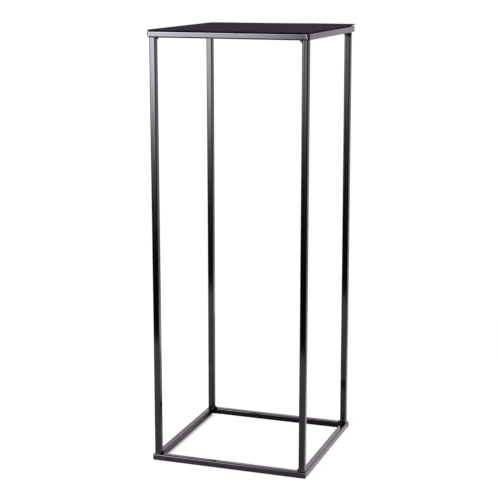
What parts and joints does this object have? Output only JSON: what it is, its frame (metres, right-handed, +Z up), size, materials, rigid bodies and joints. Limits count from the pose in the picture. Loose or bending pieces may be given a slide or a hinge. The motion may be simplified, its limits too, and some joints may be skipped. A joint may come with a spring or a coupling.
{
  "type": "display plinth",
  "caption": "Tall open display plinth: a welded box frame of square steel tube, mitred square frames top and bottom, upright legs between them and a thin flat sheet on top.",
  "frame": {"origin": "centre of the footprint on the floor", "axes": "+Z up, -Y towards the front, +X towards the right-hand side seen from the front"},
  "size_m": [0.298, 0.298, 0.8],
  "materials": {
    "frame_coat": "semi-gloss black powder coat with a slight purple cast, fine orange peel",
    "weld_coat": "glossier black coat pooled over rippled hand-laid weld beads",
    "sheet_coat": "satin black powder coat, very fine texture"
  },
  "bodies": {
    "root": {"bottom_rail_front": "frame_coat", "bottom_rail_right": "frame_coat", "bottom_rail_back": "frame_coat", "bottom_rail_left": "frame_coat", "top_rail_front": "frame_coat", "top_rail_right": "frame_coat", "top_rail_back": "frame_coat", "top_rail_left": "frame_coat", "leg_front_left": "frame_coat", "leg_front_right": "frame_coat", "leg_back_right": "frame_coat", "leg_back_left": "frame_coat", "leg_weld_front_left_bottom": "weld_coat", "leg_weld_front_left_top": "weld_coat", "leg_weld_front_right_bottom": "weld_coat", "leg_weld_front_right_top": "weld_coat", "leg_weld_back_right_bottom": "weld_coat", "leg_weld_back_right_top": "weld_coat", "leg_weld_back_left_bottom": "weld_coat", "leg_weld_back_left_top": "weld_coat", "mitre_weld_front_left_bottom": "weld_coat", "mitre_weld_front_left_top": "weld_coat", "mitre_weld_front_right_bottom": "weld_coat", "mitre_weld_front_right_top": "weld_coat", "mitre_weld_back_right_bottom": "weld_coat", "mitre_weld_back_right_top": "weld_coat", "mitre_weld_back_left_bottom": "weld_coat", "mitre_weld_back_left_top": "weld_coat", "top_sheet": "sheet_coat", "sheet_weld_front_1": "weld_coat", "sheet_weld_front_2": "weld_coat", "sheet_weld_right_1": "weld_coat", "sheet_weld_right_2": "weld_coat", "sheet_weld_back_1": "weld_coat", "sheet_weld_back_2": "weld_coat", "sheet_weld_left_1": "weld_coat", "sheet_weld_left_2": "weld_coat"}
  },
  "joints": []
}
